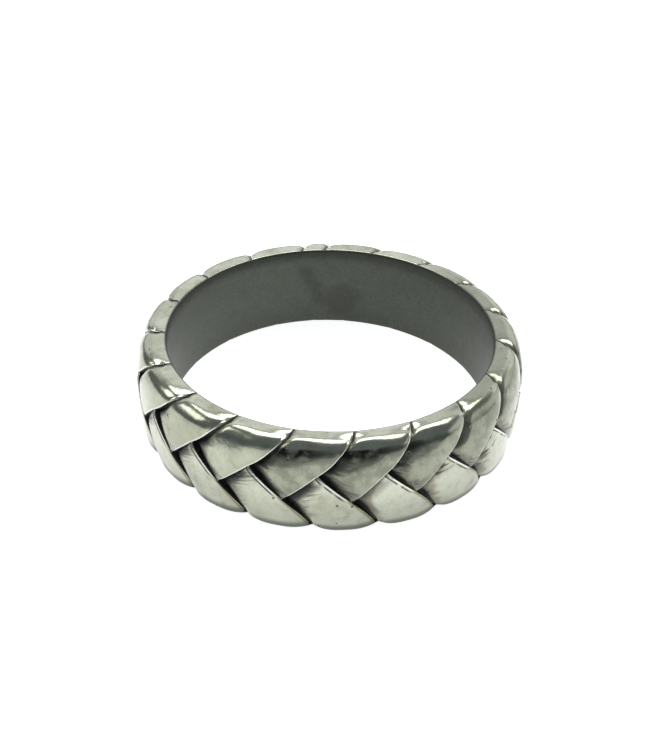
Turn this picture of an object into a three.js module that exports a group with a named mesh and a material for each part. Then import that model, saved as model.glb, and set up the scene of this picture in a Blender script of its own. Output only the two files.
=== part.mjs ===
// Braided band ring of cast silver, lying on its side: millimetres, +Z up, the finger hole along Z, its lower
// rim on Z = 0. The band is one casting. Two rows of lobes, one along each rim, lean on each other in turn like
// the strands of a plait. Each lobe comes out from under its neighbours, swells, and ends in a free edge that
// lies over the next lobe.
import * as THREE from "three";
import { mergeVertices } from "three/addons/utils/BufferGeometryUtils.js";

// The two rows of lobes
const upper = 1;
const lower = -1;

// The band
const boreRadius = 9.5; // finger hole, about ring size 9
const ridgeWall = 1.88; // wall at the ridge, where the two rows of lobes meet
const boreEdgeRadius = 0.16; // round between a rim and the finger hole
const upperHeight = 2.55; // from the ridge to the upper rim
const lowerHeight = 2.95; // from the ridge to the lower rim
const upperShoulderRadius = 0.9; // worn round between the outer face and the upper rim
const lowerShoulderRadius = 0.3;
const upperTilt = THREE.MathUtils.degToRad(18); // turn of the domed outer face where the shoulder starts
const lowerTilt = THREE.MathUtils.degToRad(6);

// The plait, seen on the outer face
// Directions of the upper tips in degrees, counted from -Y towards +X. The two ends of the plait meet at the
// back, where one lobe is only half as wide as the others.
const tipDirections = [
  -68.4, -49.3, -31, -12.1, 6.4, 24.4, 43, 62, 83, 103, 123, 142.7, 162.4, 181.4, 190.2, 211, 232, 251.5, 272,
];
const tipOverlap = 0.88; // how far a lobe's tip reaches past the ridge
const upperLean = 1.35; // how much more a free edge leans just past the crossing than before it
const lowerLean = 1;
const upperSweep = 0.72; // a free edge could still run on by this share of a lobe past the crossing
const lowerSweep = 0.85;

// The relief, measured inwards from the domed face
const lobeRelief = 0.5; // deepest hollow, where a lobe starts at the crossing
const rimRelief = 0.14; // hollow between two lobes on a rim, and at a tip
const edgeShade = 1.25; // the hollow under an upper lobe's edge is narrower by this factor
const upperSag = 0.12; // fall of each end of a lobe on the shoulder, which scallops the outline
const lowerSag = 0.26;
const sagStart = 0.9; // the fall starts at this distance from the ridge
const crownShare = 0.2; // the middle of a lobe that doesn't fall away, as a share of its width
const rimShare = 0.35; // what is left of the relief where a rim meets its bore edge
const hollowLength = 1.15; // from the foot of a step to the top of the swelling, at the crossing
const rimHollowLength = 0.6; // the same, on a rim
const tipHollowLength = 0.6; // the same, at a lobe's tip
const dimpleDepth = 0.17; // worn dimple on an upper lobe, near the edge that covers the lobe
const dimpleDirection = THREE.MathUtils.degToRad(3); // dimples are deepest here, none at right angles to it
const dimpleStart = 0.6; // a dimple starts at this distance from the ridge
const dimplePeak = 2.25; // and is deepest at this one
const dimpleShare = 0.75; // of a lobe's width
const lipDrop = 0.05; // how much a lobe falls again towards its free edge
const lipLength = 0.4; // over this length
const tuckDrop = 0.12; // how much deeper a free edge starts, where it comes out at its own tip
const tuckLength = 0.55;
const stepRun = 0.07; // a step leans by this much from its top to its foot
const narrowStep = 0.25; // where a lobe is narrow, its step takes at most this share of its width
const narrowHollow = 0.75; // and its hollow at most this share

// How the hollow grows and fades along a lobe, from its widest place at the crossing
const fadeTowardsRim = 1.1;
const fadeTowardsTip = 0.9;

// Facets
const crossingRows = 6;
const faceRows = 4;
const shoulderRows = 5;
const rimRows = 2;
const boreEdgeRows = 1;
const boreRows = 2;
const tipRow = 0.07; // height of the first row at a tip
// Columns from a step's foot to the free edge, as shares
const acrossLobe = [0, 0.08, 0.18, 0.31, 0.49, 0.71, 0.89];

const lobesPerRow = tipDirections.length;
const ridgeRadius = boreRadius + ridgeWall;

// Half of the profile: the domed face, a shoulder, a rim and a bore edge follow one another without a corner.
// The ends of these stretches are lengths from the ridge.
function halfProfile(height, shoulderRadius, tilt) {
  const faceArcRadius = (height - shoulderRadius * (1 - Math.sin(tilt))) / Math.sin(tilt);
  const shoulderCentreRadius =
    ridgeRadius - faceArcRadius * (1 - Math.cos(tilt)) - shoulderRadius * Math.cos(tilt);
  const faceEnd = faceArcRadius * tilt;
  const shoulderEnd = faceEnd + shoulderRadius * (Math.PI / 2 - tilt);
  const rimEnd = shoulderEnd + shoulderCentreRadius - boreRadius - boreEdgeRadius;
  const profileEnd = rimEnd + (boreEdgeRadius * Math.PI) / 2;
  return {
    height, shoulderRadius, tilt, faceArcRadius, shoulderCentreRadius,
    faceEnd, shoulderEnd, rimEnd, profileEnd,
  };
}

const upperHalf = {
  sag: upperSag, lean: upperLean, sweep: upperSweep,
  ...halfProfile(upperHeight, upperShoulderRadius, upperTilt),
};
const lowerHalf = {
  sag: lowerSag, lean: lowerLean, sweep: lowerSweep,
  ...halfProfile(lowerHeight, lowerShoulderRadius, lowerTilt),
};

// A row's own rim lies at a positive length from the ridge, the other row's at a negative one.
function halfAt(row, along) {
  return (row === upper) === (along >= 0) ? upperHalf : lowerHalf;
}

// The plain profile: radius, height over the ridge and outward direction at a length from the ridge.
function profileAt(row, along) {
  const half = halfAt(row, along);
  const length = Math.abs(along);
  const side = Math.sign(along) || 1;
  let radius, height, turn;
  if (length <= half.faceEnd) {
    turn = length / half.faceArcRadius;
    radius = ridgeRadius - half.faceArcRadius * (1 - Math.cos(turn));
    height = half.faceArcRadius * Math.sin(turn);
  } else if (length <= half.shoulderEnd) {
    turn = half.tilt + (length - half.faceEnd) / half.shoulderRadius;
    radius = half.shoulderCentreRadius + half.shoulderRadius * Math.cos(turn);
    height = half.height - half.shoulderRadius * (1 - Math.sin(turn));
  } else if (length <= half.rimEnd) {
    turn = Math.PI / 2;
    radius = half.shoulderCentreRadius - (length - half.shoulderEnd);
    height = half.height;
  } else {
    turn = Math.PI / 2 + (length - half.rimEnd) / boreEdgeRadius;
    radius = boreRadius + boreEdgeRadius * (1 + Math.cos(turn));
    height = half.height - boreEdgeRadius * (1 - Math.sin(turn));
  }
  return { radius, height: side * height, outward: Math.cos(turn), upward: side * Math.sin(turn) };
}

// The relief grows shallower over the flat rim and dies out on the bore edge, so the hole stays round.
function reliefShare(row, along) {
  const { shoulderEnd, rimEnd, profileEnd } = halfAt(row, along);
  if (along > rimEnd) return (rimShare * (profileEnd - along)) / (profileEnd - rimEnd);
  return THREE.MathUtils.lerp(1, rimShare, THREE.MathUtils.smoothstep(along, shoulderEnd, rimEnd));
}

// A point of the relief, sunk along the profile's normal.
function reliefPoint(row, angle, along, depth) {
  const plain = profileAt(row, along);
  const sunk = depth * reliefShare(row, along);
  const radius = plain.radius - sunk * plain.outward;
  const height = plain.height - sunk * plain.upward;
  return new THREE.Vector3(
    radius * Math.sin(angle),
    -radius * Math.cos(angle),
    lowerHeight + row * height,
  );
}

// Direction in radians of a place counted in lobes: a smooth curve through the upper tips.
function directionOf(place) {
  const first = Math.floor(place);
  const share = place - first;
  const [before, from, to, after] = [-1, 0, 1, 2].map((offset) => {
    const turns = Math.floor((first + offset) / lobesPerRow);
    return tipDirections[first + offset - turns * lobesPerRow] + 360 * turns;
  });
  const slopeFrom = (to - before) / 2;
  const slopeTo = (after - from) / 2;
  const rise = to - from;
  const bend = slopeFrom + slopeTo - 2 * rise;
  const degrees = from + share * (slopeFrom + share * (3 * rise - 2 * slopeFrom - slopeTo + share * bend));
  return THREE.MathUtils.degToRad(degrees);
}

// Direction of a lobe's free edge: a straight slope through the crossing, then a curve towards the rim.
function edgeAngle(row, lobe, along) {
  const tip = lobe + (row === lower ? 0.5 : 0);
  const climb = (along + tipOverlap) / (2 * tipOverlap);
  if (climb <= 1) return directionOf(tip + climb / 2);
  const { lean, sweep } = halfAt(row, along);
  return directionOf(tip + 0.5 + sweep * (1 - Math.exp((-lean * (climb - 1)) / (2 * sweep))));
}

// How much the ends of a lobe fall away: more up to the shoulder, then less again over the flat rim.
function sagAt(row, along) {
  const { sag, faceEnd, shoulderEnd, rimEnd } = halfAt(row, along);
  const grown = THREE.MathUtils.smoothstep(along, sagStart, (faceEnd + shoulderEnd) / 2);
  return sag * grown * (1 - THREE.MathUtils.smoothstep(along, shoulderEnd, rimEnd));
}

// The dimple, gone where the shoulder ends. Across the lobe it goes as t (1 - t)^2, which is 4/27 at most.
function dimpleAt(row, along, angle, acrossShare) {
  if (row === lower) return 0;
  const grown = THREE.MathUtils.smoothstep(along, dimpleStart, dimplePeak);
  const left = 1 - THREE.MathUtils.smoothstep(along, dimplePeak, upperHalf.shoulderEnd);
  const facing = Math.max(0, Math.cos(angle - dimpleDirection)) ** 2;
  const t = Math.min(1, acrossShare / dimpleShare);
  return dimpleDepth * facing * grown * left * (27 / 4) * t * (1 - t) ** 2;
}

// Depth of a free edge: its lip, deeper where it comes out at its tip, and the fall on the shoulder.
function edgeDepth(row, along) {
  const tuck = Math.max(0, 1 - (along + tipOverlap) / tuckLength) ** 2;
  return lipDrop + tuckDrop * tuck + sagAt(row, along);
}

function edgePoint({ row, lobe, along }) {
  return reliefPoint(row, edgeAngle(row, lobe, along), along, edgeDepth(row, along));
}

// The two edges that a lobe comes out from under: the other row's up to the crossing, then its neighbour's.
function otherEdge(row, lobe, along) {
  return { row: -row, lobe: row === upper ? lobe - 1 : lobe, along: -along };
}

function neighbourEdge(row, lobe, along) {
  return { row, lobe: lobe - 1, along };
}

function coveringEdge(row, lobe, along) {
  return along < tipOverlap ? otherEdge(row, lobe, along) : neighbourEdge(row, lobe, along);
}

// Length along the band from an edge to a direction.
function lengthFrom(edge, angle) {
  return (angle - edgeAngle(edge.row, edge.lobe, edge.along)) * profileAt(edge.row, edge.along).radius;
}

// 1 where the hollow is widest, at the crossing, and less towards the rim and the tip.
function hollowShare(along) {
  const away = along - tipOverlap;
  const fade = away > 0 ? fadeTowardsRim : fadeTowardsTip;
  return Math.exp(-((away / fade) ** 2));
}

// Depth of a lobe: the hollow rises in a parabola from the steps, the lip falls in one to the free edge.
// The distances a and b from the two steps count as one, a b / sqrt(a^2 + b^2), which rounds their corner.
function lobeDepth(row, lobe, along, angle, width) {
  const fromOther = lengthFrom(otherEdge(row, lobe, along), angle) * (row === lower ? edgeShade : 1);
  const fromNeighbour = lengthFrom(neighbourEdge(row, lobe, along), angle) * (row === upper ? edgeShade : 1);
  const distance = (fromOther * fromNeighbour) / Math.hypot(fromOther, fromNeighbour);
  const toEdge = -lengthFrom({ row, lobe, along }, angle);
  const share = hollowShare(along);
  const endLength = along > tipOverlap ? rimHollowLength : tipHollowLength;
  const length = Math.min(THREE.MathUtils.lerp(endLength, hollowLength, share), narrowHollow * width);
  const relief = THREE.MathUtils.lerp(rimRelief, lobeRelief, share) * Math.min(1, width / tipHollowLength);
  const hollow = THREE.MathUtils.clamp(1 - (distance - stepRun) / length, 0, 1) ** 2;
  const lip = Math.max(0, 1 - toEdge / lipLength) ** 2;
  const sag = sagAt(row, along);
  const fromCrown = Math.abs(1 - (2 * toEdge) / width) - crownShare;
  const fallen = THREE.MathUtils.clamp(fromCrown / (1 - crownShare), 0, 1) ** 2;
  const dimple = dimpleAt(row, along, angle, 1 - toEdge / width);
  return relief * hollow + sag * fallen + dimple + (edgeDepth(row, along) - sag) * lip;
}

// One level across a lobe: from the covering edge, down the step and over the lobe to its free edge.
function lobeRow(row, lobe, along) {
  const cover = coveringEdge(row, lobe, along);
  const from = edgeAngle(cover.row, cover.lobe, cover.along);
  const { radius } = profileAt(row, along);
  const width = (edgeAngle(row, lobe, along) - from) * radius;
  const foot = Math.min(stepRun, narrowStep * width);
  const angles = acrossLobe.map((share) => from + (foot + share * (width - foot)) / radius);
  return [
    edgePoint(cover),
    ...angles.map((angle) => reliefPoint(row, angle, along, lobeDepth(row, lobe, along, angle, width))),
    edgePoint({ row, lobe, along }),
  ];
}

function evenly(from, to, count) {
  return Array.from({ length: count }, (_, i) => from + ((to - from) * (i + 1)) / count);
}

// Levels above a lobe's tip: through the crossing, over the face, the shoulder, the rim and the bore edge.
function lobeLevels(row) {
  const { faceEnd, shoulderEnd, rimEnd, profileEnd } = halfAt(row, 0);
  const half = evenly(0, tipOverlap - tipRow, crossingRows / 2 - 1);
  return [
    ...half.map((level) => -level).reverse(),
    0,
    ...half,
    tipOverlap,
    ...evenly(tipOverlap, faceEnd, faceRows),
    ...evenly(faceEnd, shoulderEnd, shoulderRows),
    ...evenly(shoulderEnd, rimEnd, rimRows),
    ...evenly(rimEnd, profileEnd, boreEdgeRows),
  ];
}

function addTriangle(corners, a, b, c, turned) {
  for (const corner of turned ? [a, c, b] : [a, b, c]) corners.push(...corner);
}

// Joins two rows of points with two triangles in each cell.
function addStrip(corners, first, second, turned) {
  for (let i = 0; i + 1 < first.length; i++) {
    addTriangle(corners, first[i], first[i + 1], second[i + 1], turned);
    addTriangle(corners, first[i], second[i + 1], second[i], turned);
  }
}

// One lobe: a fan at its tip, then strips up to the bore. Returns its last row, on the bore.
function addLobe(corners, row, lobe) {
  const turned = row === lower;
  const rows = lobeLevels(row).map((along) => lobeRow(row, lobe, along));
  const tip = edgePoint(coveringEdge(row, lobe, -tipOverlap));
  for (let i = 0; i + 1 < rows[0].length; i++) addTriangle(corners, tip, rows[0][i + 1], rows[0][i], turned);
  for (let i = 0; i + 1 < rows.length; i++) addStrip(corners, rows[i], rows[i + 1], turned);
  return rows.at(-1);
}

// The wall of the finger hole between an upper lobe's last row and the lower one's, half a lobe further on.
function addBoreWall(corners, top, bottom) {
  const rows = [top];
  for (let i = 1; i < boreRows; i++) {
    const between = top.map((point, column) => point.clone().lerp(bottom[column], i / boreRows));
    for (const point of between) {
      const outwards = boreRadius / Math.hypot(point.x, point.y);
      point.multiply(new THREE.Vector3(outwards, outwards, 1));
    }
    rows.push(between);
  }
  rows.push(bottom);
  for (let i = 0; i + 1 < rows.length; i++) addStrip(corners, rows[i], rows[i + 1], false);
}

function braidedBandGeometry() {
  const corners = [];
  for (let lobe = 0; lobe < lobesPerRow; lobe++) {
    const top = addLobe(corners, upper, lobe);
    const bottom = addLobe(corners, lower, lobe);
    addBoreWall(corners, top, bottom);
  }
  const loose = new THREE.BufferGeometry();
  loose.setAttribute("position", new THREE.Float32BufferAttribute(corners, 3));
  const geometry = mergeVertices(loose, 1e-4);
  geometry.computeVertexNormals();
  return geometry;
}

const silver = new THREE.MeshStandardMaterial({ color: 0xb9b8a8, metalness: 1, roughness: 0.28 });

const ring = new THREE.Group();
const band = new THREE.Mesh(braidedBandGeometry(), silver);
band.name = "braided_band";
ring.add(band);

export default ring;
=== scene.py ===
import math
from types import SimpleNamespace

import bpy
import numpy as np
from mathutils import Matrix, Vector


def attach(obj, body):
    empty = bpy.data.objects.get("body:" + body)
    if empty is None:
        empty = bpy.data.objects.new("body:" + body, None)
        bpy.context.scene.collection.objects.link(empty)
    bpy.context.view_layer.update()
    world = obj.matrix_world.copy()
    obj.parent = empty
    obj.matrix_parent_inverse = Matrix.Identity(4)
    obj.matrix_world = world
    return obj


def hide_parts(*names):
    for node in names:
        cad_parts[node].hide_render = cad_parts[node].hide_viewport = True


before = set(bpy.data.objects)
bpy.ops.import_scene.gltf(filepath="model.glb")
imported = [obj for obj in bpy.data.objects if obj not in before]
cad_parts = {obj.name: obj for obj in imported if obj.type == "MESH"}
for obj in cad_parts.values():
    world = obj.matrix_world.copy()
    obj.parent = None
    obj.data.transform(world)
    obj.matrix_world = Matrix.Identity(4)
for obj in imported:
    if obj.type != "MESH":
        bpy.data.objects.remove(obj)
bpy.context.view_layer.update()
print("frame loaded")

mm = 0.001

# The band and its plait, in millimetres and degrees. A place is counted in lobes along the upper tips.
band = {
    "boreRadius": 9.5,
    "ridgeWall": 1.88,  # at the ridge, where the two rows of lobes meet
    "boreEdgeRadius": 0.16,
    "upperHeight": 2.55,  # from the ridge to the upper rim
    "lowerHeight": 2.95,
    "upperShoulderRadius": 0.9,
    "lowerShoulderRadius": 0.3,
    "upperTilt": 18.0,  # how far the domed face has turned where the shoulder starts
    "lowerTilt": 6.0,
    "tipDirections": [
        -68.4, -49.3, -31, -12.1, 6.4, 24.4, 43, 62, 83, 103,
        123, 142.7, 162.4, 181.4, 190.2, 211, 232, 251.5, 272,
    ],
    "tipOverlap": 0.88,  # a tip reaches this far past the ridge
    "upperLean": 1.35,  # how much more a free edge leans just past the crossing than before it
    "lowerLean": 1.0,
    "upperSweep": 0.72,  # a free edge could run on by this share of a lobe past the crossing
    "lowerSweep": 0.85,
    "lobeRelief": 0.5,
    "rimRelief": 0.14,
    "edgeShade": 1.25,  # the hollow under an upper lobe's edge is narrower by this factor
    "upperSag": 0.12,  # the ends of a lobe fall away by this much on the shoulder
    "lowerSag": 0.26,
    "sagStart": 0.9,
    "crownShare": 0.2,
    "rimShare": 0.35,  # what is left of the relief where a rim meets its bore edge
    "hollowLength": 1.15,
    "rimHollowLength": 0.6,
    "dimpleDepth": 0.17,  # worn dimple on an upper lobe, near the edge that covers it
    "dimpleDirection": 3.0,  # of the deepest one
    "dimpleStart": 0.6,  # lengths from the ridge along the profile
    "dimplePeak": 2.25,
    "dimpleShare": 0.75,
    "tipHollowLength": 0.6,
    "lipDrop": 0.05,
    "lipLength": 0.4,
    "tuckDrop": 0.12,
    "tuckLength": 0.55,
    "stepRun": 0.08,
    "narrowStep": 0.25,
    "narrowHollow": 0.75,
    "fadeTowardsRim": 1.1,
    "fadeTowardsTip": 0.9,
    "crossingRows": 14,  # rows from the middle to the crossing
    "faceRows": 14,
    "shoulderRows": 12,
    "rimRows": 5,
    "boreEdgeRows": 4,
    "boreRows": 12,
    "tipRow": 0.012,
    "stepColumns": 4,
    "hollowColumns": 12,
    "lobeColumns": 12,
    "hollowSpan": 0.4,  # the share of a lobe that the hollow's columns take
    "hollowCrowding": 1.4,
    "edgeCrowding": 1.5,
    "mergeDigits": 4,  # decimals of a millimetre that tell two corners apart
}

upper, lower = 1.0, -1.0
lobesPerRow = len(band["tipDirections"])

ridgeRadius = band["boreRadius"] + band["ridgeWall"]
bandHeight = band["upperHeight"] + band["lowerHeight"]
tiny = 1e-9  # keeps divisions away from nothing


def smoothStep(low, high, value):
    share = np.clip((value - low) / (high - low), 0, 1)
    return share * share * (3 - 2 * share)


# Half of the profile: the domed face, a shoulder, the rim and the bore edge follow one another without a
# corner. The ends of these stretches are lengths from the ridge.
def halfProfile(name):
    height = band[name + "Height"]
    shoulder = band[name + "ShoulderRadius"]
    tilt = math.radians(band[name + "Tilt"])
    arc = (height - shoulder * (1 - math.sin(tilt))) / math.sin(tilt)
    centre = ridgeRadius - arc * (1 - math.cos(tilt)) - shoulder * math.cos(tilt)
    faceEnd = arc * tilt
    shoulderEnd = faceEnd + shoulder * (math.pi / 2 - tilt)
    rimEnd = shoulderEnd + centre - band["boreRadius"] - band["boreEdgeRadius"]
    return {
        "height": height,
        "shoulder": shoulder,
        "tilt": tilt,
        "arc": arc,
        "centre": centre,
        "faceEnd": faceEnd,
        "shoulderEnd": shoulderEnd,
        "rimEnd": rimEnd,
        "boreEdgeEnd": rimEnd + band["boreEdgeRadius"] * math.pi / 2,
        "sag": band[name + "Sag"],
        "lean": band[name + "Lean"],
        "sweep": band[name + "Sweep"],
    }


halves = {upper: halfProfile("upper"), lower: halfProfile("lower")}


# Values of the half of the profile that a length lies on, which is the row's own half where it is positive.
def halfValues(keys, row, along):
    onUpper = row * np.where(along < 0, -1, 1) > 0
    return [np.where(onUpper, halves[upper][key], halves[lower][key]) for key in keys.split()]


# Radius, height over the ridge and outward direction at a length from it: an arc for the face and one for
# the shoulder, the flat rim, and the bore edge's arc.
def profileAt(row, along):
    height, shoulder, tilt, arc, centre = halfValues("height shoulder tilt arc centre", row, along)
    faceEnd, shoulderEnd, rimEnd = halfValues("faceEnd shoulderEnd rimEnd", row, along)
    bore, boreEdge = band["boreRadius"], band["boreEdgeRadius"]
    length = np.abs(along)
    side = np.where(along < 0, -1.0, 1.0)
    faceTurn = length / arc
    shoulderTurn = tilt + (length - faceEnd) / shoulder
    boreTurn = math.pi / 2 + (length - rimEnd) / boreEdge
    stretches = [length <= faceEnd, length <= shoulderEnd, length <= rimEnd]
    turn = np.select(stretches, [faceTurn, shoulderTurn, math.pi / 2], boreTurn)
    radius = np.select(
        stretches,
        [
            ridgeRadius - arc * (1 - np.cos(faceTurn)),
            centre + shoulder * np.cos(shoulderTurn),
            centre - (length - shoulderEnd),
        ],
        bore + boreEdge * (1 + np.cos(boreTurn)),
    )
    rise = np.select(
        stretches,
        [arc * np.sin(faceTurn), height - shoulder * (1 - np.sin(shoulderTurn)), height],
        height - boreEdge * (1 - np.sin(boreTurn)),
    )
    return radius, side * rise, np.cos(turn), side * np.sin(turn)


# A point of the relief: the plain profile, sunk by the depth along its normal, turned by the angle round
# the hole. The depth goes down in an S-curve over the flat rim, and straight to nothing on the bore edge.
def reliefPoint(row, angle, along, depth):
    radius, height, outward, upward = profileAt(row, along)
    shoulderEnd, rimEnd, boreEdgeEnd = halfValues("shoulderEnd rimEnd boreEdgeEnd", row, along)
    overRim = 1 - (1 - band["rimShare"]) * smoothStep(shoulderEnd, rimEnd, along)
    sunk = depth * overRim * np.clip((boreEdgeEnd - along) / (boreEdgeEnd - rimEnd), 0, 1)
    radius = radius - sunk * outward
    height = height - sunk * upward
    return np.stack(
        np.broadcast_arrays(
            radius * np.sin(angle), -radius * np.cos(angle), band["lowerHeight"] + row * height
        ),
        axis=-1,
    )


# Angle of a place counted in lobes: a cubic through the tips, whose slope at each is half the step from the
# tip before to the tip after.
def angleOf(place):
    first = np.floor(place).astype(int)
    share = place - first
    tips = np.array(band["tipDirections"])

    def tip(index):
        turns = np.floor_divide(index, lobesPerRow)
        return tips[index - turns * lobesPerRow] + 360 * turns

    before, start, end, after = tip(first - 1), tip(first), tip(first + 1), tip(first + 2)
    slopeStart, slopeEnd, rise = (end - before) / 2, (after - start) / 2, end - start
    bend = slopeStart + slopeEnd - 2 * rise
    degrees = start + share * (slopeStart + share * (3 * rise - 2 * slopeStart - slopeEnd + share * bend))
    return np.radians(degrees)


# Angle of a lobe's free edge: straight from its tip through the crossing, then an exponential turn.
def edgeAngle(row, lobe, along):
    tip = lobe + np.where(row < 0, 0.5, 0.0)
    climb = (along + band["tipOverlap"]) / (2 * band["tipOverlap"])
    lean, sweep = halfValues("lean sweep", row, along)
    beyond = 0.5 + sweep * (1 - np.exp(-0.5 * lean * np.maximum(climb - 1, 0) / sweep))
    return angleOf(tip + np.where(climb <= 1, climb / 2, beyond))


# How much the ends of a lobe fall away: an S-curve up to the shoulder, and one down again over the rim.
def sagAt(row, along):
    faceEnd, shoulderEnd, rimEnd, sag = halfValues("faceEnd shoulderEnd rimEnd sag", row, along)
    grown = smoothStep(band["sagStart"], (faceEnd + shoulderEnd) / 2, along)
    return sag * grown * (1 - smoothStep(shoulderEnd, rimEnd, along))


# The dimple: S-curves up to its peak and down to the shoulder's end, times t (1 - t)^2 across the lobe,
# which is 4/27 at most, times the square of the cosine between a place's direction and the deepest one.
def dimpleAt(row, along, angle, acrossShare):
    grown = smoothStep(band["dimpleStart"], band["dimplePeak"], along)
    left = 1 - smoothStep(band["dimplePeak"], halves[upper]["shoulderEnd"], along)
    facing = np.maximum(0, np.cos(angle - math.radians(band["dimpleDirection"]))) ** 2
    t = np.clip(acrossShare / band["dimpleShare"], 0, 1)
    depth = band["dimpleDepth"] * facing * grown * left * 27 / 4 * t * (1 - t) ** 2
    return np.where(row > 0, depth, 0)


# Depth of a free edge: the lip, a parabola deeper at its tip, and the fall on the shoulder.
def edgeDepth(row, along):
    tuck = np.maximum(0, 1 - (along + band["tipOverlap"]) / band["tuckLength"]) ** 2
    return band["lipDrop"] + band["tuckDrop"] * tuck + sagAt(row, along)


# Columns of a lobe, as shares: the step's own, then the hollow's, then the rest, denser at the free edge.
def lobeColumns():
    span = band["hollowSpan"]
    step = np.linspace(0, 1, band["stepColumns"] + 1)
    hollow = np.linspace(0, 1, band["hollowColumns"] + 1) ** band["hollowCrowding"]
    rest = 1 - np.linspace(1, 0, band["lobeColumns"] + 1) ** band["edgeCrowding"]
    return step, np.concatenate([span * hollow[1:], span + (1 - span) * rest[1:]])


# Levels of a lobe, as lengths from the ridge: even over the crossing, then even on each stretch.
def lobeLevels(row):
    overlap = band["tipOverlap"]
    half = np.linspace(0, overlap - band["tipRow"], band["crossingRows"])[1:]
    levels = [[-overlap], -half[::-1], [0.0], half, [overlap]]
    start = overlap
    for stretch in ("face", "shoulder", "rim", "boreEdge"):
        end = halves[row][stretch + "End"]
        levels.append(np.linspace(start, end, band[stretch + "Rows"] + 1)[1:])
        start = end
    return np.concatenate(levels)


# All lobes at once, as grids of levels and columns. The depth is the hollow's parabola from the two
# covering steps, whose distances a and b count as a b / sqrt(a^2 + b^2), the fall of both ends beyond the
# crown, again a parabola, the dimple, and the lip's parabola at the free edge. The step itself is an
# S-curve from the covering edge down to the hollow.
def lobeGrids():
    rows = np.repeat([upper, lower], lobesPerRow)[:, None, None]
    lobes = np.tile(np.arange(lobesPerRow), 2)[:, None, None].astype(float)
    along = np.repeat([lobeLevels(upper), lobeLevels(lower)], lobesPerRow, axis=0)[:, :, None]
    stepShares, lobeShares = lobeColumns()

    otherLobe = np.where(rows > 0, lobes - 1, lobes)
    otherAngle = edgeAngle(-rows, otherLobe, -along)
    neighbourAngle = edgeAngle(rows, lobes - 1, along)
    ownAngle = edgeAngle(rows, lobes, along)
    crossed = along >= band["tipOverlap"]
    coverAngle = np.where(crossed, neighbourAngle, otherAngle)
    coverDepth = np.where(crossed, edgeDepth(rows, along), edgeDepth(-rows, -along))

    radius = profileAt(rows, along)[0]
    width = np.maximum((ownAngle - coverAngle) * radius, 0)
    foot = np.minimum(band["stepRun"], band["narrowStep"] * width)
    distance = np.concatenate(
        [foot * stepShares[None, None, :], foot + (width - foot) * lobeShares[None, None, :]], axis=-1
    )
    angle = coverAngle + distance / radius

    otherShade = np.where(rows < 0, band["edgeShade"], 1)
    neighbourShade = np.where(rows > 0, band["edgeShade"], 1)
    fromOther = np.maximum((angle - otherAngle) * radius, 0) * otherShade
    fromNeighbour = np.maximum((angle - neighbourAngle) * radius, 0) * neighbourShade
    both = fromOther * fromNeighbour / np.maximum(np.hypot(fromOther, fromNeighbour), tiny)
    away = along - band["tipOverlap"]
    fade = np.where(away > 0, band["fadeTowardsRim"], band["fadeTowardsTip"])
    share = np.exp(-((away / fade) ** 2))
    endLength = np.where(away > 0, band["rimHollowLength"], band["tipHollowLength"])
    length = np.minimum(endLength + (band["hollowLength"] - endLength) * share, band["narrowHollow"] * width)
    relief = band["rimRelief"] + (band["lobeRelief"] - band["rimRelief"]) * share
    relief = relief * np.minimum(1, width / band["tipHollowLength"])
    hollow = np.clip(1 - (both - band["stepRun"]) / np.maximum(length, tiny), 0, 1) ** 2
    lip = np.maximum(0, 1 - (width - distance) / band["lipLength"]) ** 2
    sag = sagAt(rows, along)
    fromCrown = np.abs(2 * distance / np.maximum(width, tiny) - 1) - band["crownShare"]
    fallen = np.clip(fromCrown / (1 - band["crownShare"]), 0, 1) ** 2
    dimple = dimpleAt(rows, along, angle, distance / np.maximum(width, tiny))
    depth = relief * hollow + sag * fallen + dimple + (edgeDepth(rows, along) - sag) * lip
    down = smoothStep(0, 1, distance / np.maximum(foot, tiny))
    depth = coverDepth + (depth - coverDepth) * down
    depth[..., -1:] = edgeDepth(rows, along)

    points = reliefPoint(rows, angle, along, depth)
    cavity = relief * hollow * down / band["lobeRelief"]
    return points, distance, np.broadcast_to(along, distance.shape), cavity, lip


# The wall of the finger hole under each upper lobe: straight from its last row to the lower lobe's,
# pushed out to the hole's radius.
def boreGrids(points):
    top = points[:lobesPerRow, -1]
    bottom = points[lobesPerRow:, -1]
    share = np.linspace(0, 1, band["boreRows"] + 1)[None, :, None, None]
    wall = top[:, None] * (1 - share) + bottom[:, None] * share
    reach = band["boreRadius"] / np.hypot(wall[..., 0], wall[..., 1])
    wall[..., :2] *= reach[..., None]
    return wall


# Quads of a stack of grids, turned over where the flag says so.
def gridFaces(grids, levels, columns, turned):
    corner = np.arange(grids * levels * columns).reshape(grids, levels, columns)
    a, b = corner[:, :-1, :-1], corner[:, :-1, 1:]
    c, d = corner[:, 1:, 1:], corner[:, 1:, :-1]
    faces = np.stack([a, b, c, d], axis=-1)
    faces[turned] = faces[turned][..., ::-1]
    return faces.reshape(-1, 4)


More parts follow.
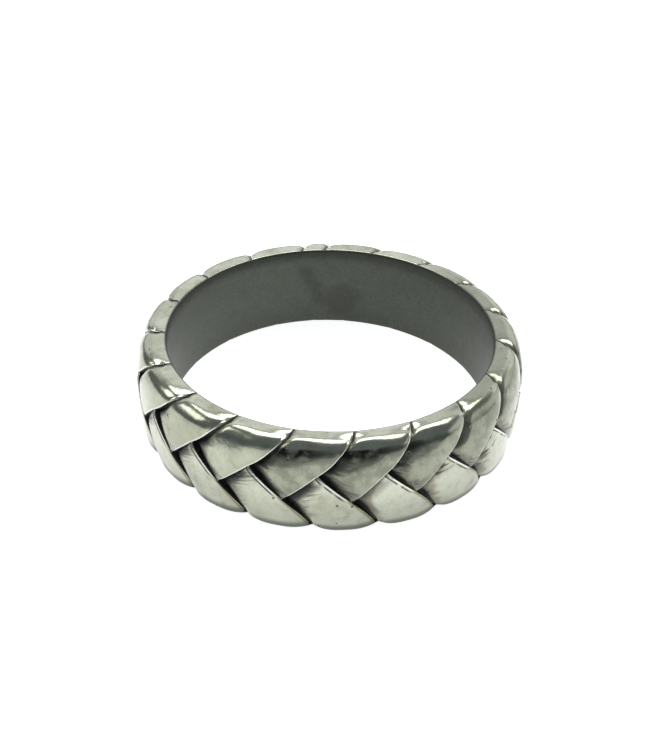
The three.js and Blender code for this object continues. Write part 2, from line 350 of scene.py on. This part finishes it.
# A mesh from loose grids: corners at the same rounded place become one, quads that lost a corner become
# triangles, and what was known at a corner goes into layers.
def closedMesh(name, points, faces, layers):
    places, index = np.unique(
        np.round(points, band["mergeDigits"]), axis=0, return_inverse=True
    )
    index = index.reshape(-1)
    merged = index[faces]
    same = merged == np.roll(merged, -1, axis=1)
    whole = ~same.any(axis=1)
    halved = same.sum(axis=1) == 1
    kept = np.sort(np.argsort(same[halved], axis=1, kind="stable")[:, :3], axis=1)
    triangles = np.take_along_axis(merged[halved], kept, axis=1)
    triangleSources = np.take_along_axis(faces[halved], kept, axis=1)
    corners = np.concatenate([merged[whole].ravel(), triangles.ravel()])
    origins = np.concatenate([faces[whole].ravel(), triangleSources.ravel()])
    sizes = np.concatenate([np.full(whole.sum(), 4), np.full(halved.sum(), 3)])

    mesh = bpy.data.meshes.new(name)
    mesh.vertices.add(len(places))
    mesh.vertices.foreach_set("co", (places * mm).ravel())
    mesh.loops.add(len(corners))
    mesh.loops.foreach_set("vertex_index", corners)
    mesh.polygons.add(len(sizes))
    mesh.polygons.foreach_set("loop_start", np.concatenate([[0], np.cumsum(sizes)[:-1]]))
    mesh.update(calc_edges=True)
    for layer, values in layers.items():
        if values.shape[1] == 2:
            made = mesh.uv_layers.new(name=layer)
            made.data.foreach_set("uv", values[origins].ravel())
        else:
            made = mesh.attributes.new(layer, "FLOAT_COLOR", "CORNER")
            made.data.foreach_set("color", values[origins].ravel())
    mesh.validate()
    mesh.shade_smooth()
    return mesh


# The whole piece. Its layers hold each point's distances on its lobe, or its angle and height on the bore
# wall, and as colours the cavity, the lip, the lobe's number as a share of them all, and how far inside
# it lies.
def makeBand():
    points, distance, along, cavity, lip = lobeGrids()
    wall = boreGrids(points)
    grids, levels, columns = distance.shape
    lobeFaces = gridFaces(grids, levels, columns, np.arange(grids) >= lobesPerRow)
    wallFaces = gridFaces(lobesPerRow, band["boreRows"] + 1, columns, np.zeros(lobesPerRow, bool))
    allPoints = np.concatenate([points.reshape(-1, 3), wall.reshape(-1, 3)])
    faces = np.concatenate([lobeFaces, wallFaces + points.size // 3])

    lobeNumber = np.broadcast_to(np.arange(grids)[:, None, None], distance.shape)
    place = np.stack([distance, along], axis=-1).reshape(-1, 2)
    wallAngle = np.arctan2(wall[..., 0], -wall[..., 1])
    wallPlace = np.stack([wallAngle, wall[..., 2]], axis=-1).reshape(-1, 2)
    rims = np.where(np.arange(grids) < lobesPerRow, 1, -1)[:, None, None]
    rimEnds, boreEdgeEnds = halfValues("rimEnd boreEdgeEnd", rims, along)
    inside = smoothStep(rimEnds, (rimEnds + boreEdgeEnds) / 2, along)
    lobeWear = np.stack([cavity, lip, lobeNumber / grids, inside], axis=-1)
    wallWear = np.broadcast_to([0.0, 0.0, 0.0, 1.0], (wall[..., 0].size, 4))
    layers = {
        "lobePlace": np.concatenate([place, wallPlace]),
        "wear": np.concatenate([lobeWear.reshape(-1, 4), wallWear]),
    }
    mesh = closedMesh("braidedBandSurface", allPoints, faces, layers)
    piece = bpy.data.objects.new("braidedBandSurface", mesh)
    bpy.context.collection.objects.link(piece)
    return piece


braid = makeBand()
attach(braid, "root")
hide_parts("braided_band")
print("band made:", len(braid.data.polygons), "faces")


# A socket that can stand in a sum. Each operator adds its Math node.
class Signal:
    def __init__(self, finish, socket):
        self.finish = finish
        self.socket = socket

    def combine(self, operation, first, second):
        return self.finish.node("ShaderNodeMath", {"operation": operation}, {0: first, 1: second})

    def __add__(self, other):
        return self.combine("ADD", self, other)

    def __sub__(self, other):
        return self.combine("SUBTRACT", self, other)

    def __mul__(self, other):
        return self.combine("MULTIPLY", self, other)

    def __truediv__(self, other):
        return self.combine("DIVIDE", self, other)

    def __radd__(self, other):
        return self.combine("ADD", other, self)

    def __rsub__(self, other):
        return self.combine("SUBTRACT", other, self)

    def __rmul__(self, other):
        return self.combine("MULTIPLY", other, self)

    def largest(self, other):
        return self.combine("MAXIMUM", self, other)

    def size(self):
        return self.finish.node("ShaderNodeMath", {"operation": "ABSOLUTE"}, {0: self})

    def root(self):
        return self.finish.node("ShaderNodeMath", {"operation": "SQRT"}, {0: self})

    def between(self, low, high):  # an S-curve from 0 at low to 1 at high
        return self.finish.node(
            "ShaderNodeMapRange", {"interpolation_type": "SMOOTHSTEP"}, {0: self, 1: low, 2: high}
        )


# A material's nodes. One method adds any node: settings first, then what goes into its sockets.
class Finish:
    def __init__(self, name):
        self.material = bpy.data.materials.new(name)
        self.material.use_nodes = True
        self.nodes = self.material.node_tree.nodes
        self.links = self.material.node_tree.links
        self.nodes.clear()

    def node(self, kind, settings=None, values=None, output=0):
        made = self.nodes.new(kind)
        for key, value in (settings or {}).items():
            setattr(made, key, value)
        for key, value in (values or {}).items():
            if isinstance(value, Signal):
                self.links.new(value.socket, made.inputs[key])
            else:
                made.inputs[key].default_value = value
        return Signal(self, made.outputs[output]) if made.outputs else None

    def mixColour(self, share, first, second):
        return self.node("ShaderNodeMix", {"data_type": "RGBA"}, {0: share, 6: first, 7: second}, 2)

    def split(self, kind, whole):  # the three numbers of a colour or a vector
        outputs = self.node(kind, None, {0: whole}).socket.node.outputs
        return [Signal(self, outputs[i]) for i in range(3)]

    def noise(self, place, scale, detail, roughness=0.55):
        values = {"Vector": place, "Scale": scale, "Detail": detail, "Roughness": roughness}
        return self.node("ShaderNodeTexNoise", None, values)

    def surface(self, values):
        shader = self.node("ShaderNodeBsdfPrincipled", None, values)
        self.node("ShaderNodeOutputMaterial", None, {"Surface": shader})
        return self.material


silverFinish = {
    "silver": (0.398, 0.411, 0.336, 1),
    "silverShade": (0.278, 0.291, 0.223, 1),
    # A lighter silver for the free edges: polish and a painted highlight
    "polishedAndHighlight": (0.62, 0.635, 0.58, 1),  # free edges
    "toningAndShade": (0.13, 0.105, 0.045, 1),
    "greyOxideAndShade": (0.074, 0.085, 0.073, 1),
    "blackOxideAndShade": (0.012, 0.013, 0.011, 1),
    "inside": (0.09, 0.1, 0.08, 1),
    "insideShade": (0.037, 0.042, 0.032, 1),
    "smear": (0.025, 0.028, 0.022, 1),
    "roughness": 0.13,
    "dullRoughness": 0.35,  # added where the metal is oxidised
    "insideRoughness": 0.5,
    "dullMetal": 0.45,  # lost where it is oxidised, and inside
    # Scales of the noises and of the pits' pattern
    "broadScale": 420,
    "middleScale": 1500,
    "fineScale": 6500,
    "pitScale": 1200,
    # Each pair from here on says where a mark starts and where it is full, or where its fading starts and
    # ends. These are lengths from the ridge towards a lobe's own rim, mm.
    "rimFrom": (2.9, 3.1),
    "shoulderFrom": (1.5, 2.1),
    "undersideShadeFrom": (2.25, 2.65),
    "hollowFrom": (-0.7, -0.2),
    "hollowTo": (1.1, 2.0),
    "creaseFrom": (-0.7, -0.3),
    "creaseTo": (1.2, 1.9),
    "edgeHighlightTo": (0.45, 0.85),  # in the lower row only
    "darkReflectionFrom": (1.55, 2.0),
    "darkReflectionTo": (2.3, 2.45),
    "faceShadeFrom": (-0.2, 1.3),
    "faceShadeTo": (2.1, 2.4),
    # X of a place, mm
    "rightSide": (-9, 9),
    "shadeBlotchFrom": (-4, -2),
    "shadeBlotchTo": (3.5, 6),
    "faceShadeSide": (-4.5, -1.5),
    "faceShadeRimSide": (4, 9),
    # Distances from the foot of the step, mm
    "creviceWidth": 0.13,
    "deepWidth": (0.35, 1.05),
    "darkReflectionWidth": (1.3, 2.8),
    "faceShadeWidth": (1.3, 3.2),
    "creaseReach": 1.5,
    # Distances from a lobe's own free edge, mm
    "edgeWidth": 0.12,
    "brownWidth": (0.05, 0.22),
    "grooveAt": 0.2,
    "grooveWidth": (0.02, 0.08),
    # The creases' noise: how fast it changes away from the step, on a slant and towards the rim, how far it
    # jumps from lobe to lobe, and how near its middle value a fold lies
    "creaseRun": 0.45,
    "creaseSlant": 0.7,
    "creaseRise": 1.9,
    "creaseJump": 300,
    "foldWidth": (0.015, 0.09),
    "pitSize": (0.04, 0.11),  # shares of a cell of the pits' pattern
    "pitCells": (0.4, 0.42),  # cells whose red is over this hold one
    # How strongly the marks show in the colours
    "upperShade": 0.55,
    "brownBorder": 0.55,
    "brownFaceShade": 0.5,
    "brownEdge": 0.75,
    "brownCloud": 0.14,
    "greyHollow": 0.85,
    "greyCrease": 0.8,
    "greyUndersideShade": 0.8,
    "greyDarkReflection": 0.35,
    "edgeHighlight": 0.65,
    "darkPit": 0.85,
    "darkGroove": 0.8,
    "darkCrease": 0.6,
    "darkShadeBlotch": 0.95,
    # The bumps, and how high or deep the marks are in them
    "bumpStrength": 0.6,
    "bumpHeight": 0.03,  # mm
    "broadRise": 2.4,
    "middleRise": 0.6,
    "fineRise": 0.08,
    "edgeRise": 0.8,
    "pitDepth": 1.2,
    "creaseDepth": 1.4,
    "grooveDepth": 1.6,
    # Inside, mm: X and Z of the ends of a stain, and of the centre of a darker patch beside it
    "smearTop": (-1.65, 3.95),
    "smearTopFade": 0.7,
    "smearFoot": (-0.65, 1.7),
    "smearFootFade": 0.8,
    "smearWidth": (0.1, 0.9),
    "patchAt": (0.7, 1.9),
    "patchRadius": (0.4, 2.0),
    "backFrom": (4, 5),  # Y
    # Painted shade under the upper rim, inside: where it starts and is full
    "shadeUnderRimFrom": (4.5, 5.4),  # Z
}


# What the marks are worked out from: where a point is on the ring, in millimetres, and on its lobe, as
# distances from the step's foot and from the ridge, the lobe's number as a share of them all, and noises.
def readSurface(finish):
    look = silverFinish
    place = finish.node("ShaderNodeTexCoord", None, None, 3)
    across, back, height = [part / mm for part in finish.split("ShaderNodeSeparateXYZ", place)]
    wear = finish.node("ShaderNodeAttribute", {"attribute_name": "wear"})
    cavity, lip, lobe = finish.split("ShaderNodeSeparateColor", wear)
    inside = Signal(finish, wear.socket.node.outputs["Alpha"])
    lobePlace = finish.node("ShaderNodeUVMap", {"uv_map": "lobePlace"})
    fromStep, along, _ = finish.split("ShaderNodeSeparateXYZ", lobePlace)
    lowerRow = lobe.between(0.49, 0.5)  # the first half of the lobes are the upper ones
    return SimpleNamespace(
        place=place,
        across=across,
        back=back,
        height=height,
        right=across.between(*look["rightSide"]),
        cavity=cavity,
        lip=lip,
        lobe=lobe,
        inside=inside,
        outside=1 - inside,
        fromStep=fromStep,
        along=along,
        lowerRow=lowerRow,
        upperRow=1 - lowerRow,
        onRim=along.between(*look["rimFrom"]) * (1 - lowerRow),
        broad=finish.noise(place, look["broadScale"], 3),
        middle=finish.noise(place, look["middleScale"], 4),
        fine=finish.noise(place, look["fineScale"], 4, 0.65),
    )


# Free edges: how far a point is from its own lobe's edge comes back from the lip's parabola. The upper row's
# edges, and the lower row's where they lie over the upper row, are lighter: polish and a painted highlight,
# on the lower row stronger towards the right, and weaker on the rim. The lower row's have a groove beside
# them there, and are brown beyond.
def edgeMarks(at):
    look = silverFinish
    toEdge = band["lipLength"] * (1 - at.lip.root())
    overCrossing = (1 - at.along.between(*look["edgeHighlightTo"])) * at.lowerRow
    line = (1 - toEdge.between(0.4 * look["edgeWidth"], look["edgeWidth"])) * at.outside
    # Where the painted highlight and polish show
    bright = at.upperRow.largest(overCrossing * (0.3 + at.right * 0.9)) * (1 - at.onRim * 0.8)
    brown = (1 - toEdge.between(*look["brownWidth"])) * at.lowerRow * (1 - overCrossing) * at.outside
    fromGroove = (toEdge - look["grooveAt"]).size()
    groove = (1 - fromGroove.between(*look["grooveWidth"])) * overCrossing * at.middle.between(0.3, 0.5)
    return line * bright, brown, groove


# Creases: noise drawn out along the lobe, so that its folds run away from the step, near a crossing only.
def creaseMarks(finish, at):
    look = silverFinish
    run = at.fromStep * look["creaseRun"]
    rise = at.along * look["creaseRise"] + at.fromStep * look["creaseSlant"]
    drawnOut = finish.node("ShaderNodeCombineXYZ", None, {0: run, 1: rise, 2: at.lobe * look["creaseJump"]})
    fold = 1 - (finish.noise(drawnOut, 1.0, 1) - 0.5).size().between(*look["foldWidth"])
    nearStep = 1 - at.fromStep.between(0.25 * look["creaseReach"], look["creaseReach"])
    nearCrossing = at.along.between(*look["creaseFrom"]) * (1 - at.along.between(*look["creaseTo"]))
    return fold * nearStep * nearCrossing * at.outside * at.broad.between(0.44, 0.53)


# Oxide in the hollows, which wanders with the noises and is less towards the right: black at a step's
# foot and in the deepest places, grey up the hollow, and a brown border.
def hollowMarks(at):
    look = silverFinish
    wander = (at.middle - 0.5) * 0.5 + (at.broad - 0.5) * 0.3
    stain = at.cavity * (1.7 - at.right * 0.85) + wander
    crevice = 1 - (at.fromStep / (look["creviceWidth"] * (1 + at.onRim * 0.9))).between(0.4, 1)
    onShoulder = at.along.between(*look["shoulderFrom"]) * (1 - at.onRim) * at.upperRow
    crevice = crevice * at.cavity.between(0.02, 0.1) * (0.95 - onShoulder * 0.6)
    deep = at.along.between(*look["hollowFrom"]) * (1 - at.along.between(*look["hollowTo"])) * at.outside
    deep = deep * (1 - at.right.between(0.3, 0.95) * 0.8) * (at.fine.between(0.3, 0.6) * 0.12 + 0.88)
    deep = deep * (1 - (at.fromStep + wander).between(*look["deepWidth"]))
    black = (stain.between(0.4, 1.0) * 0.9).largest(deep).largest(crevice)
    return black, stain.between(0.1, 0.55), stain.between(0.02, 0.2)


# Casting pits: dark dots at the centres of a Voronoi pattern's cells, for the cells that their own colour
# picks. One shows where such a centre lies near the surface.
def pitMarks(finish, at):
    look = silverFinish
    pits = finish.node("ShaderNodeTexVoronoi", None, {"Vector": at.place, "Scale": look["pitScale"]})
    cell, _, _ = finish.split("ShaderNodeSeparateColor", Signal(finish, pits.socket.node.outputs["Color"]))
    return (1 - pits.between(*look["pitSize"])) * cell.between(*look["pitCells"]) * at.outside


# The upper lobes: a cloudy painted dark reflection under the highlights, painted black blotches in it at the
# front, and painted shade on the faces at the front and the right and on the rim at the right.
def faceMarks(at):
    look = silverFinish
    cloud = (at.broad * 0.5 + at.middle * 0.5).between(0.42, 0.58)
    # Painted dark reflection: grey on the upper lobes just under the highlights
    darkReflectionPlace = at.along.between(*look["darkReflectionFrom"]) * (1 - at.along.between(*look["darkReflectionTo"]))
    darkReflectionPlace = darkReflectionPlace * at.upperRow * at.outside * ((1 - at.fromStep.between(*look["darkReflectionWidth"])) * 0.7 + 0.3)
    # Painted dark reflection as well: glossy black blotches in it at the front
    shadeBlotch = darkReflectionPlace * (at.middle * 0.6 + at.broad * 0.4).between(0.38, 0.52)
    shadeBlotch = shadeBlotch * at.across.between(*look["shadeBlotchFrom"]) * (1 - at.across.between(*look["shadeBlotchTo"]))
    # Painted shade: duller, darker upper faces at the front and the right
    onFace = at.upperRow * at.across.between(*look["faceShadeSide"]) * (1 - at.along.between(*look["faceShadeTo"]))
    faceShade = 0.3 + at.along.between(*look["faceShadeFrom"]) * 0.12 + cloud * 0.26
    faceShade = faceShade - at.fromStep.between(*look["faceShadeWidth"]) * 0.12
    # Painted shade on the rim at the right
    onRim = at.onRim * at.across.between(*look["faceShadeRimSide"]) * 0.42
    return darkReflectionPlace * cloud, shadeBlotch, (onFace * at.outside * faceShade).largest(onRim)


# Inside: even and matt with grain, and painted shade under the upper rim and towards the right. The stain at
# the back is a band about the line between its ends, and the patch is round.
def insideColour(finish, at):
    look = silverFinish
    grain = at.fine.between(0.3, 0.75) * 0.6 + at.middle.between(0.3, 0.75) * 0.25
    # Random grain, and painted shade towards the right and under the upper rim
    grainAndShade = grain * 0.6 + at.right * 0.4 + at.height.between(*look["shadeUnderRimFrom"]) * 0.9
    bare = finish.mixColour(grainAndShade, look["inside"], look["insideShade"])
    (topX, topZ), (footX, footZ) = look["smearTop"], look["smearFoot"]
    slope = (footX - topX) / (footZ - topZ)
    offLine = (at.across - topX - slope * (at.height - topZ)).size() + (at.middle - 0.5) * 1.4
    aboveFoot = at.height.between(footZ - look["smearFootFade"], footZ)
    belowTop = 1 - at.height.between(topZ, topZ + look["smearTopFade"])
    smeared = (1 - offLine.between(*look["smearWidth"])) * aboveFoot * belowTop
    patchX, patchZ = look["patchAt"]
    offX, offZ = at.across - patchX, at.height - patchZ
    fromPatch = (offX * offX + offZ * offZ).root() + (at.broad - 0.5) * 3.5
    patch = 1 - fromPatch.between(*look["patchRadius"])
    stained = smeared.largest(patch) * 0.5 * at.back.between(*look["backFrom"])
    return finish.mixColour(stained, bare, look["smear"])


# The colours lie over one another: mottled silver with painted shade on the upper row, brown toning and
# painted shade, grey oxide and painted shade, polished edges with a painted highlight, then black oxide and
# painted black blotches.
# Oxide is rougher and less metallic than silver, apart from the painted blotches, which keep its gloss.
def makeSilver():
    look = silverFinish
    finish = Finish("silverOxideAndPaintedLight")
    at = readSurface(finish)
    edge, brownEdge, groove = edgeMarks(at)
    crease = creaseMarks(finish, at)
    black, grey, border = hollowMarks(at)
    pit = pitMarks(finish, at)
    darkReflection, shadeBlotch, faceShade = faceMarks(at)
    # Painted shade on the lower row's shoulder, towards the underside
    undersideShade = at.along.between(*look["undersideShadeFrom"]) * at.lowerRow * at.outside
    cloud = at.broad.between(0.5, 0.68)

    # The mottle is random; the upper row's faces also get painted shade, a darker silver than the lower
    # row's
    mottleAndShade = at.broad.between(0.4, 0.65) * 0.45 + at.middle.between(0.35, 0.7) * 0.3
    mottleAndShade = mottleAndShade + at.fine.between(0.45, 0.75) * 0.35 + at.upperRow * (1 - at.onRim) * look["upperShade"]
    plain = finish.mixColour(mottleAndShade, look["silver"], look["silverShade"])
    # Brown: real toning, and the brown of the painted face shade
    brown = (border * look["brownBorder"]).largest(faceShade * look["brownFaceShade"])
    brown = brown.largest(brownEdge * look["brownEdge"]).largest(cloud * look["brownCloud"])
    tonedAndShaded = finish.mixColour(brown, plain, look["toningAndShade"])
    oxideAndShade = (grey * look["greyHollow"]).largest(crease * look["greyCrease"]).largest(faceShade)
    oxideAndShade = oxideAndShade.largest(undersideShade * look["greyUndersideShade"]).largest(darkReflection * look["greyDarkReflection"])
    oxidisedAndShaded = finish.mixColour(oxideAndShade, tonedAndShaded, look["greyOxideAndShade"])
    edged = finish.mixColour(edge * look["edgeHighlight"], oxidisedAndShaded, look["polishedAndHighlight"])
    dark = (black * (1 - edge)).largest(pit * look["darkPit"])
    dark = dark.largest(groove * look["darkGroove"]).largest(crease * look["darkCrease"])
    # The black oxide colour also paints the black blotches of dark reflection
    outer = finish.mixColour(dark.largest(shadeBlotch * look["darkShadeBlotch"]), edged, look["blackOxideAndShade"])
    colour = finish.mixColour(at.inside, outer, insideColour(finish, at))

    dull = dark.largest(grey * 0.5)
    metallic = 1 - dull.largest(at.inside) * look["dullMetal"]
    roughness = look["roughness"] + at.fine * 0.1 + at.middle * 0.06 + dull * look["dullRoughness"]
    roughness = roughness.largest(at.inside * look["insideRoughness"])
    relief = at.broad * look["broadRise"] + at.middle * look["middleRise"] + at.fine * look["fineRise"]
    relief = relief + edge * look["edgeRise"] - pit * look["pitDepth"]
    relief = relief - crease * look["creaseDepth"] - groove * look["grooveDepth"]
    bumpValues = {"Strength": look["bumpStrength"], "Distance": look["bumpHeight"] * mm, "Height": relief}
    bump = finish.node("ShaderNodeBump", None, bumpValues)
    return finish.surface(
        {"Base Color": colour, "Metallic": metallic, "Roughness": roughness, "Normal": bump}
    )


braid.data.materials.append(makeSilver())
print("silver made")

# A white table that glows, in a slightly blue room, in metres and watts. Soft lights hang above the ring
# and at both sides, one like a pale wall is behind it, and a long low one is in front.
studio = {
    "floorSize": 1.2,
    "floorColour": (0.8, 0.8, 0.8, 1),
    "floorRoughness": 0.9,
    "floorShine": 0.1,
    "glowColour": (1, 1, 1, 1),
    "tableGlow": 0.86,
    "room": 0.33,
    "roomColour": (0.8, 0.88, 1, 1),
    "lights": {
        "aboveLight": {"place": (0, 0.2, 0.46), "size": (0.5, 0.2), "power": 2.3},
        "leftLight": {"place": (-0.42, 0.03, 0.33), "size": (0.22, 0.22), "power": 0.6},
        "wallLight": {"place": (0, 0.7, 0.34), "size": (1.5, 0.5), "power": 2.8},
        "rightLight": {"place": (0.6, 0.12, 0.2), "size": (0.8, 0.4), "power": 0.9},
        "frontLight": {"place": (0, -0.7, 0.11), "size": (1.6, 0.16), "power": 0.36},
    },
}


def makeFloor():
    half = studio["floorSize"] / 2
    mesh = bpy.data.meshes.new("paleFloor")
    corners = [(-half, -half, 0), (half, -half, 0), (half, half, 0), (-half, half, 0)]
    mesh.from_pydata(corners, [], [(0, 1, 2, 3)])
    floor = bpy.data.objects.new("paleFloor", mesh)
    bpy.context.collection.objects.link(floor)
    finish = Finish("palePaper")
    floor.data.materials.append(
        finish.surface(
            {
                "Base Color": studio["floorColour"],
                "Roughness": studio["floorRoughness"],
                "Specular IOR Level": studio["floorShine"],
                "Emission Color": studio["glowColour"],
                "Emission Strength": studio["tableGlow"],
            }
        )
    )
    return floor


floor = makeFloor()


# A light's own -Z axis turns towards the origin.
def makeLight(name, values):
    light = bpy.data.lights.new(name, "AREA")
    light.shape = "RECTANGLE"
    light.size, light.size_y = values["size"]
    light.energy = values["power"]
    lamp = bpy.data.objects.new(name, light)
    lamp.location = values["place"]
    lamp.rotation_euler = (-Vector(values["place"])).to_track_quat("-Z", "Y").to_euler()
    bpy.context.collection.objects.link(lamp)


for name, values in studio["lights"].items():
    makeLight(name, values)

world = bpy.data.worlds.new("paleRoom")
bpy.context.scene.world = world
world.use_nodes = True
background = world.node_tree.nodes["Background"]
background.inputs["Color"].default_value = studio["roomColour"]
background.inputs["Strength"].default_value = studio["room"]
print("studio made")

# The camera, from a fit to both rims' outlines in the photograph, in degrees, metres and pixels.
photo = {
    "width": 650,
    "height": 743,
    "elevation": 34.96,
    "distance": 63.1 * mm,
    "focalPixels": 1054.3,
    "ringCentreX": 329.8,  # where the ring's centre shows
    "ringCentreY": 367.4,
    "roll": math.degrees(0.018),
    "sensor": 36.0,
    "nearest": 0.002,
    "farthest": 20,
}


# The lens is shifted so that the ring's centre, which it points at, shows where the photograph has it.
def makeCamera():
    lens = bpy.data.cameras.new("photoCamera")
    longSide = max(photo["width"], photo["height"])
    lens.sensor_width = photo["sensor"]
    lens.lens = photo["focalPixels"] * photo["sensor"] / longSide
    lens.shift_x = (photo["width"] / 2 - photo["ringCentreX"]) / longSide
    lens.shift_y = (photo["ringCentreY"] - photo["height"] / 2) / longSide
    lens.clip_start = photo["nearest"]
    lens.clip_end = photo["farthest"]
    camera = bpy.data.objects.new("photoCamera", lens)
    bpy.context.collection.objects.link(camera)
    elevation = math.radians(photo["elevation"])
    centre = Vector((0, 0, bandHeight / 2 * mm))
    towards = Vector((0, -math.cos(elevation), math.sin(elevation)))
    roll = Matrix.Rotation(math.radians(photo["roll"]), 3, "Z")
    turn = towards.to_track_quat("Z", "Y").to_matrix() @ roll
    camera.matrix_world = Matrix.Translation(centre + towards * photo["distance"]) @ turn.to_4x4()
    bpy.context.scene.camera = camera


makeCamera()
bpy.context.scene.view_settings.view_transform = "Standard"
print("camera made")
